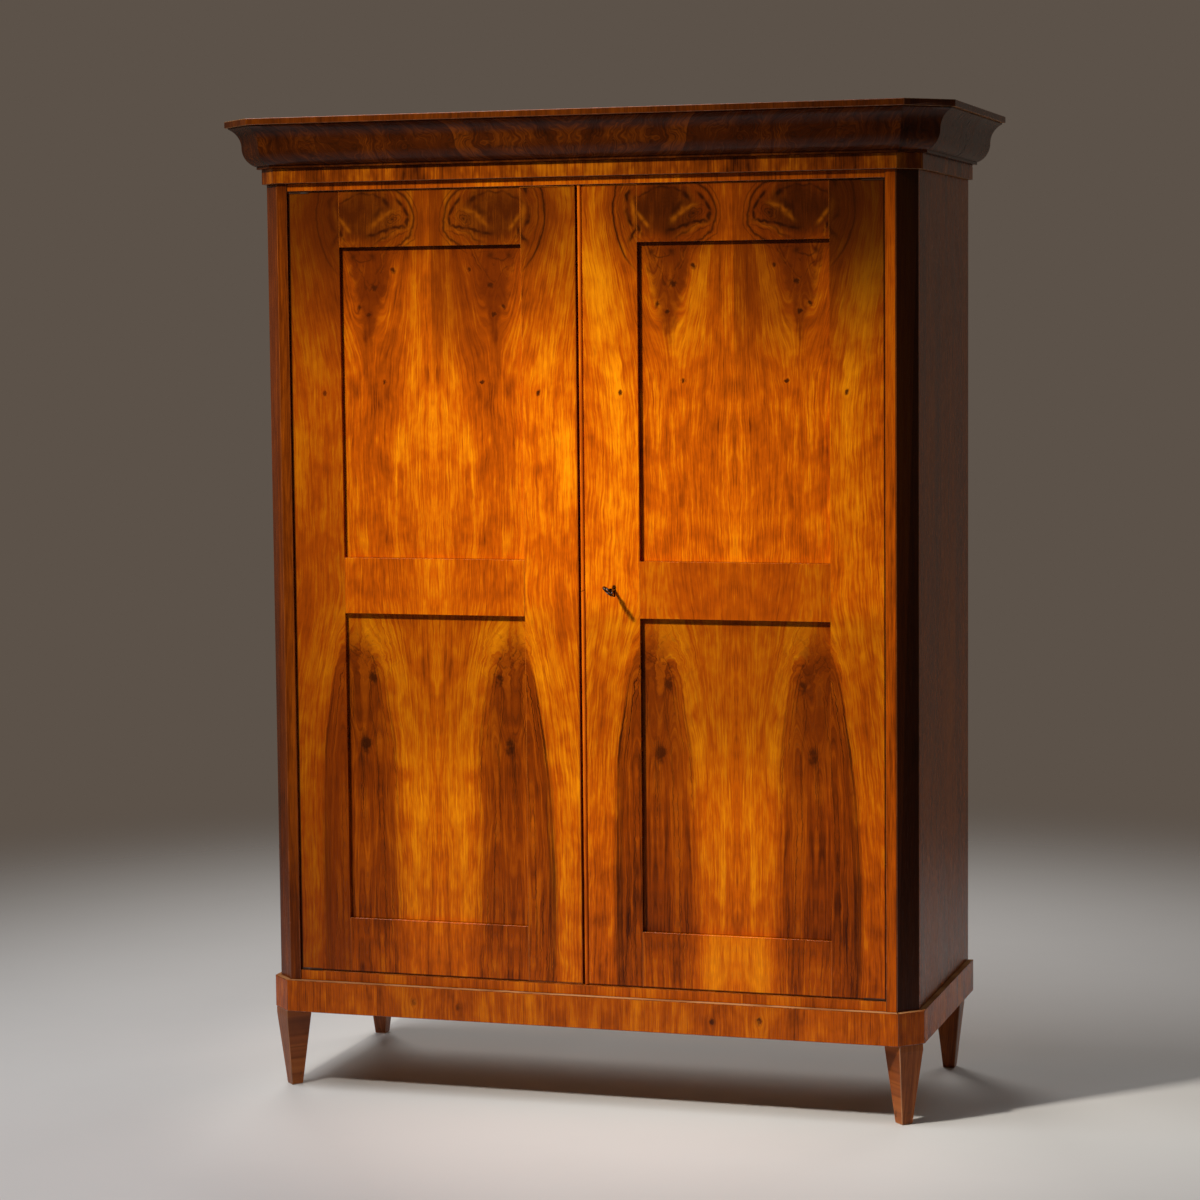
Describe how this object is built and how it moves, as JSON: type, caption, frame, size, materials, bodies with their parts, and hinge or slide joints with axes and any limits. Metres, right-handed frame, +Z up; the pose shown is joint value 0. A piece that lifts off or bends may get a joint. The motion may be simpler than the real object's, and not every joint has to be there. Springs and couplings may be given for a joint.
{
  "type": "linen cupboard",
  "caption": "Two-door walnut linen cupboard with chamfered corners, ogee cornice, panelled doors on pivots, lock with key, inside shelves and tapered legs.",
  "frame": {"origin": "on the floor, in the middle of the bounding box", "axes": "+Z up, the doors face -Y, +X is to the right of a person facing the doors"},
  "size_m": [1.477, 0.616, 1.95],
  "materials": {
    "walnut_veneer": "french-polished figured walnut veneer, satin gloss",
    "solid_walnut": "worn polished walnut",
    "softwood": "planed, aged softwood, unfinished",
    "steel": "dull forged steel",
    "dark_iron": "dark iron, worn bright on the edges"
  },
  "bodies": {
    "carcase": {"back_boards": "softwood", "bottom_board": "softwood", "bottom_pivot_plates": "steel", "cornice_back_rail": "softwood", "cornice_corners": "walnut_veneer", "cornice_front": "walnut_veneer", "cornice_left": "walnut_veneer", "cornice_right": "walnut_veneer", "cornice_top_board": "walnut_veneer", "door_stops": "softwood", "frieze_corners": "walnut_veneer", "frieze_front": "walnut_veneer", "frieze_left": "walnut_veneer", "frieze_right": "walnut_veneer", "front_left_leg": "solid_walnut", "front_right_leg": "solid_walnut", "head_rail": "walnut_veneer", "left_front_post": "walnut_veneer", "left_side": "walnut_veneer", "leg_blocks": "softwood", "plinth_back": "softwood", "plinth_corners": "walnut_veneer", "plinth_front": "walnut_veneer", "plinth_left": "walnut_veneer", "plinth_right": "walnut_veneer", "rear_left_leg": "solid_walnut", "rear_right_leg": "solid_walnut", "right_front_post": "walnut_veneer", "right_side": "walnut_veneer", "shelf_1": "softwood", "shelf_2": "softwood", "shelf_3": "softwood", "shelf_bearers": "softwood", "threshold_rail": "walnut_veneer", "top_board": "softwood", "top_pivot_plates": "steel"},
    "left_door": {"left_bottom_rail": "walnut_veneer", "left_hinge_stile": "walnut_veneer", "left_lock_rail": "walnut_veneer", "left_lower_panel": "walnut_veneer", "left_meeting_stile": "walnut_veneer", "left_pivot_sockets": "steel", "left_top_rail": "walnut_veneer", "left_upper_panel": "walnut_veneer", "keeper_box": "steel", "bolt_guides": "steel"},
    "right_door": {"right_bottom_rail": "walnut_veneer", "right_hinge_stile": "walnut_veneer", "right_lock_rail": "walnut_veneer", "right_lower_panel": "walnut_veneer", "right_meeting_stile": "walnut_veneer", "right_pivot_sockets": "steel", "right_top_rail": "walnut_veneer", "right_upper_panel": "walnut_veneer", "meeting_bead": "solid_walnut", "lock_case": "steel"},
    "key": {"key": "dark_iron"},
    "lock_bolt": {"lock_bolt": "steel"},
    "top_bolt": {"top_bolt": "steel"},
    "bottom_bolt": {"bottom_bolt": "steel"}
  },
  "joints": [
    {"name": "left_door_hinge", "type": "hinge", "parent": "carcase", "child": "left_door", "pos_m": [-0.585, -0.22, 1.0255], "axis": [0, 0, 1], "range_deg": [-110, 0]},
    {"name": "right_door_hinge", "type": "hinge", "parent": "carcase", "child": "right_door", "pos_m": [0.585, -0.22, 1.0255], "axis": [0, 0, 1], "range_deg": [0, 110]},
    {"name": "key_turn", "type": "hinge", "parent": "right_door", "child": "key", "pos_m": [0.066, -0.23, 1.0255], "axis": [0, 1, 0], "range_deg": [0, 180]},
    {"name": "lock_bolt_slide", "type": "slide", "parent": "right_door", "child": "lock_bolt", "axis": [-1, 0, 0], "range_m": [0, 0.014]},
    {"name": "top_bolt_slide", "type": "slide", "parent": "left_door", "child": "top_bolt", "axis": [0, 0, 1], "range_m": [0, 0.014]},
    {"name": "bottom_bolt_slide", "type": "slide", "parent": "left_door", "child": "bottom_bolt", "axis": [0, 0, -1], "range_m": [0, 0.014]}
  ],
  "couplings": [
    {"joint": "lock_bolt_slide", "follows": "key_turn", "m_per_rad": 0.0044563}
  ]
}
